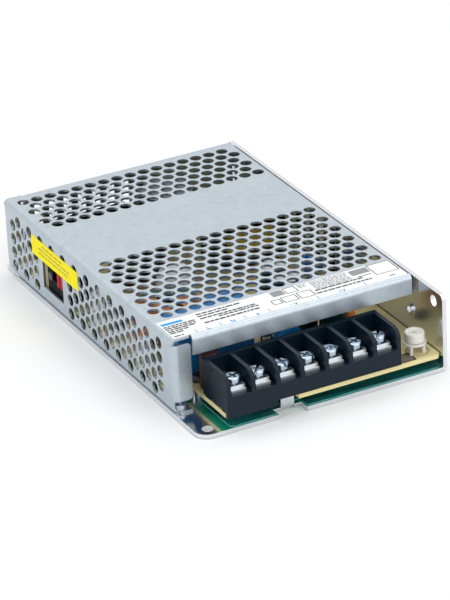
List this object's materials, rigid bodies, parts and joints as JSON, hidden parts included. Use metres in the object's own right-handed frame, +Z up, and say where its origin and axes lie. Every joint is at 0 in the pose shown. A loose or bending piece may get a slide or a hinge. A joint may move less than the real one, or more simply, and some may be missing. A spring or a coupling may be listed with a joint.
{
  "type": "enclosed switching power supply",
  "caption": "Flat power supply in a folded case: perforated cover, tall chassis wall, open barrier terminals and a trimmer at the front, voltage selector in the side.",
  "frame": {"origin": "centre of the base's underside", "axes": "+Z up out of the cover's top, +Y from the terminal end to the back, +X to the tall chassis wall"},
  "size_m": [0.0971, 0.159, 0.0301],
  "materials": {
    "bright_plate": "bright plated sheet",
    "galvanised": "satin galvanised sheet",
    "film": "thin clear film",
    "board": "laminate with a lacquered underside",
    "label": "white film",
    "sticker": "yellow film",
    "block": "moulded",
    "zinc": "bright zinc",
    "black": "moulded",
    "tan": "paper laminate",
    "grey_metal": "dull",
    "red": "moulded",
    "white": "moulded",
    "blue": "moulded",
    "bright_blue": "dipped coating",
    "green": "painted",
    "dark_green": "dipped coating",
    "copper": "lacquered copper wire",
    "sleeve": "sleeved can",
    "ferrite": "ferrite",
    "bobbin": "moulded",
    "tape": "taped winding",
    "pad": "heat-conducting sheet",
    "silicone": "set adhesive",
    "fuse_glass": "sleeved fuse"
  },
  "bodies": {
    "case": {"chassis": "bright_plate", "cover": "galvanised", "insulation_film": "film", "circuit_board": "board", "rating_label": "label", "selector_sticker": "sticker", "terminal_block": "block", "terminal_tabs": "zinc", "terminal_washers": "zinc", "terminal_screws": "zinc", "selector_body": "black", "selector_laminate": "tan", "selector_rivet": "grey_metal", "trimmer_base": "white", "line_capacitor": "blue", "filter_capacitor": "blue", "suppression_capacitors": "bright_blue", "varistor": "bright_blue", "thermistor": "dark_green", "fuse": "fuse_glass", "choke_core": "green", "choke_windings": "copper", "bridge_rectifier": "black", "bulk_capacitors": "sleeve", "transformer_core": "ferrite", "transformer_bobbin": "bobbin", "transformer_winding": "tape", "power_devices": "black", "device_clips": "zinc", "thermal_pad": "pad", "output_inductor_core": "ferrite", "output_inductor_winding": "copper", "output_capacitors": "sleeve", "optocoupler": "black", "control_chip": "black", "adhesive": "silicone", "board_screws": "zinc", "cover_screws": "zinc"},
    "selector": {"selector_slider": "red"},
    "trimmer": {"trimmer_rotor": "white"}
  },
  "joints": [
    {"name": "selector_slide", "type": "slide", "parent": "case", "child": "selector", "axis": [0, 1, 0], "range_m": [0, 0.006]},
    {"name": "trimmer_turn", "type": "hinge", "parent": "case", "child": "trimmer", "pos_m": [0.0398, -0.0721, 0.0105], "axis": [0, 0, 1], "range_deg": [-130, 130]}
  ]
}
